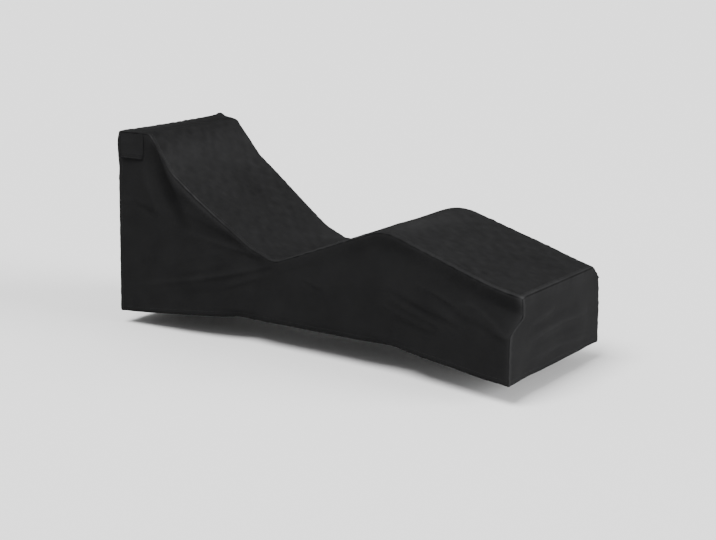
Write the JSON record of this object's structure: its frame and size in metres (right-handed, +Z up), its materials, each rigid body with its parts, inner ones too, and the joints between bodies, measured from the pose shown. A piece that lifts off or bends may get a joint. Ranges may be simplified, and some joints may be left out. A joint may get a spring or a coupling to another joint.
{
  "type": "lounge chair cover",
  "caption": "Fitted black cloth cover sewn to the wave of a lounge chair, with hanging sides, closed ends and a vent flap at the head, open underneath.",
  "frame": {"origin": "underside of the cloth at the lowest point of the seat, midway across, where the chair carries the cover; the ground is 0.325 m below it", "axes": "+X from head to foot, +Y to the left hand of someone lying in the chair, +Z up"},
  "size_m": [1.7609, 0.654, 0.715],
  "materials": {
    "cover_cloth": "matt black plain-weave polyester with a faint sheen"
  },
  "bodies": {
    "root": {"top_panel": "cover_cloth", "side_panel_right": "cover_cloth", "side_panel_left": "cover_cloth", "rear_panel": "cover_cloth", "foot_panel": "cover_cloth", "vent_flap": "cover_cloth"}
  },
  "joints": []
}
